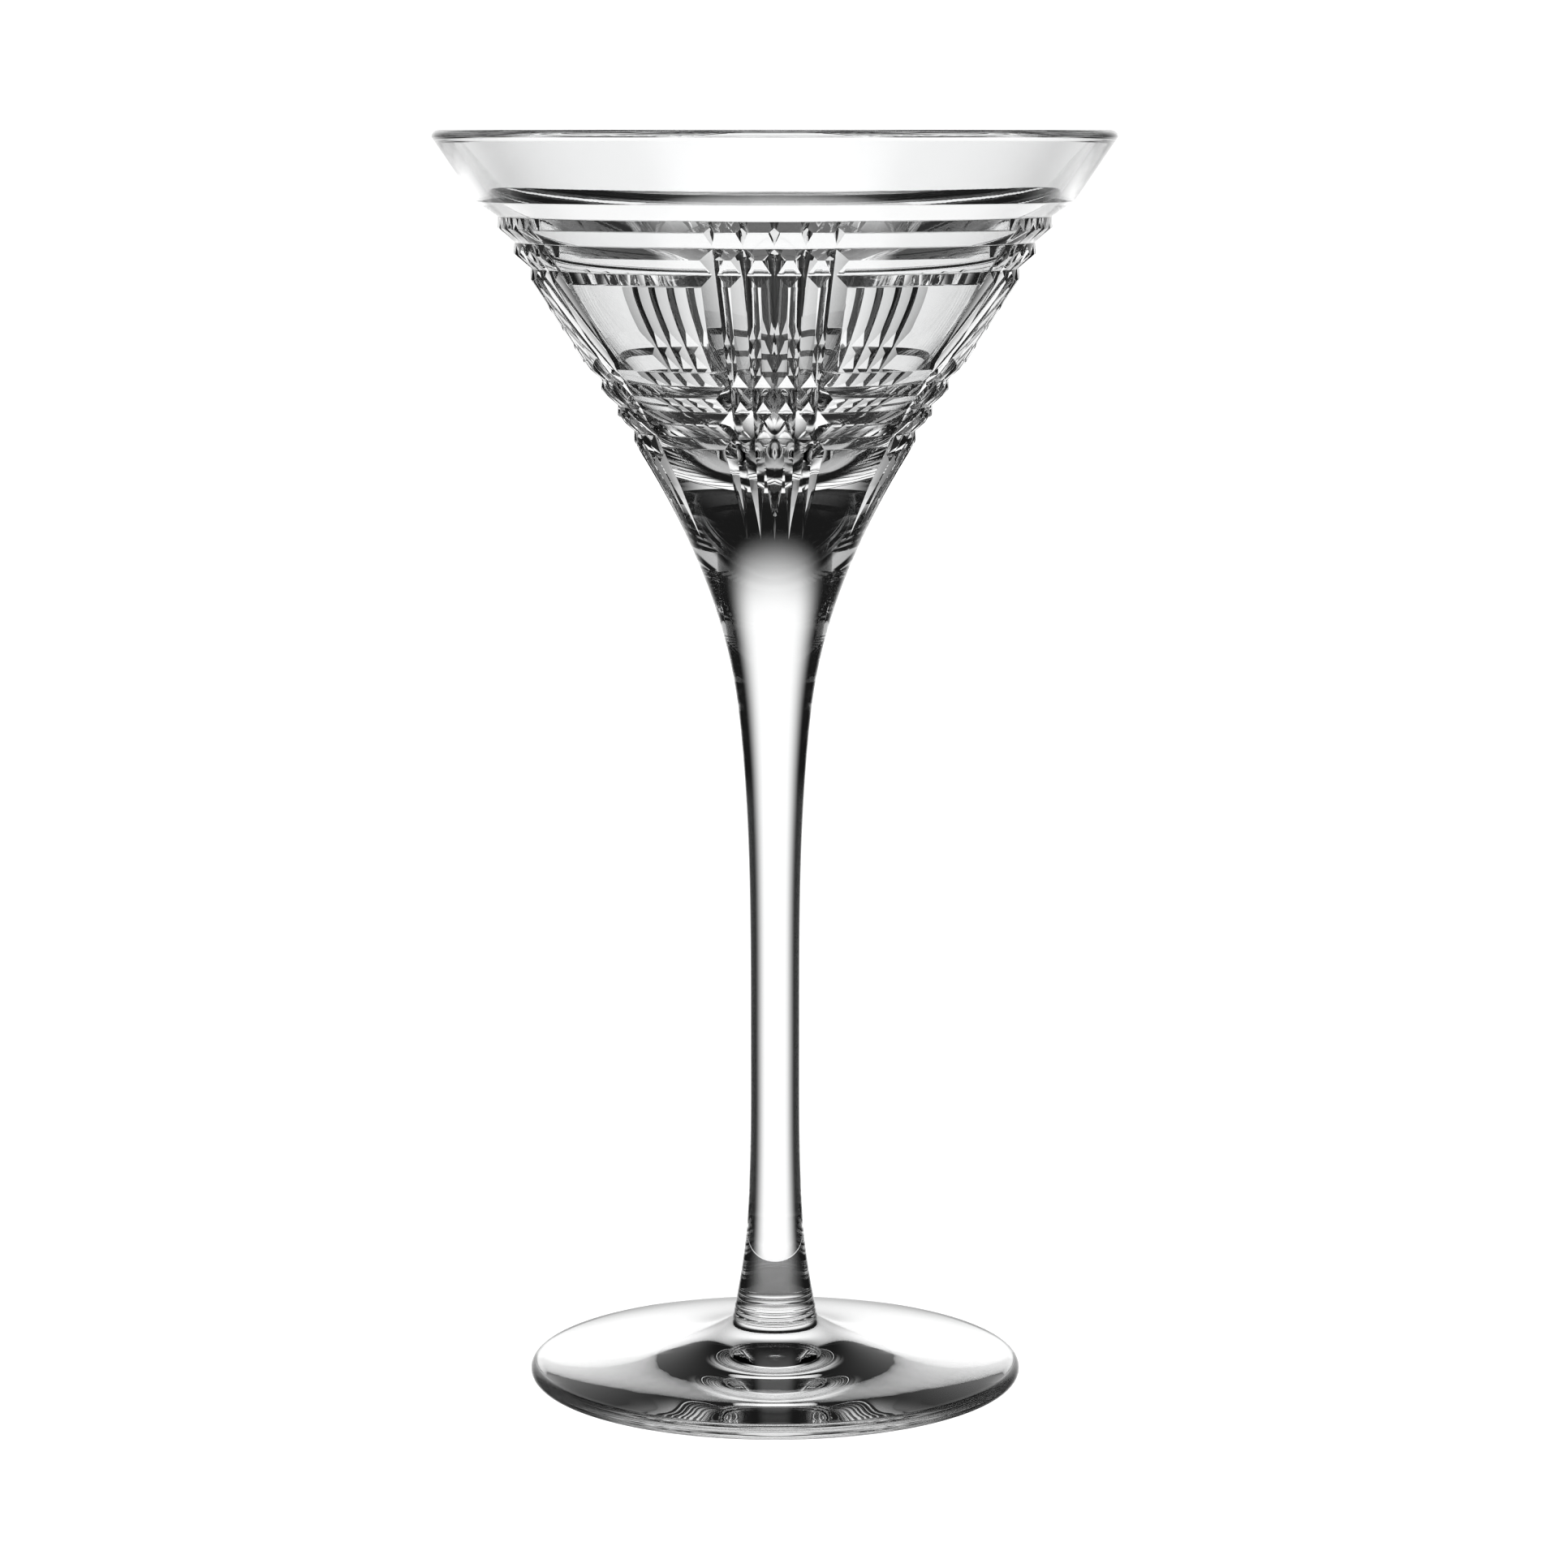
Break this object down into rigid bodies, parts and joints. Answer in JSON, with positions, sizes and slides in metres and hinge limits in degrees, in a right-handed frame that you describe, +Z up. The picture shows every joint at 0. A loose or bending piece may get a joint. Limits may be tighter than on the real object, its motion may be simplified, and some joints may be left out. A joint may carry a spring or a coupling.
{
  "type": "martini glass",
  "caption": "Stemmed cocktail glass with a cone-shaped bowl, ring-cut and flute-cut outside, on a slender waisted stem and a round domed foot.",
  "frame": {"origin": "centre of the foot on the surface that the glass stands on", "axes": "+Z up along the axis of the stem and bowl; one group of flutes faces -Y"},
  "size_m": [0.119, 0.119, 0.222],
  "materials": {
    "cut_crystal": "clear crystal, mitre cut and acid polished",
    "drawn_crystal": "clear crystal, fire polished"
  },
  "bodies": {
    "root": {"bowl": "cut_crystal", "stem": "drawn_crystal", "stem_base": "drawn_crystal", "collar": "drawn_crystal", "foot": "drawn_crystal"}
  },
  "joints": []
}
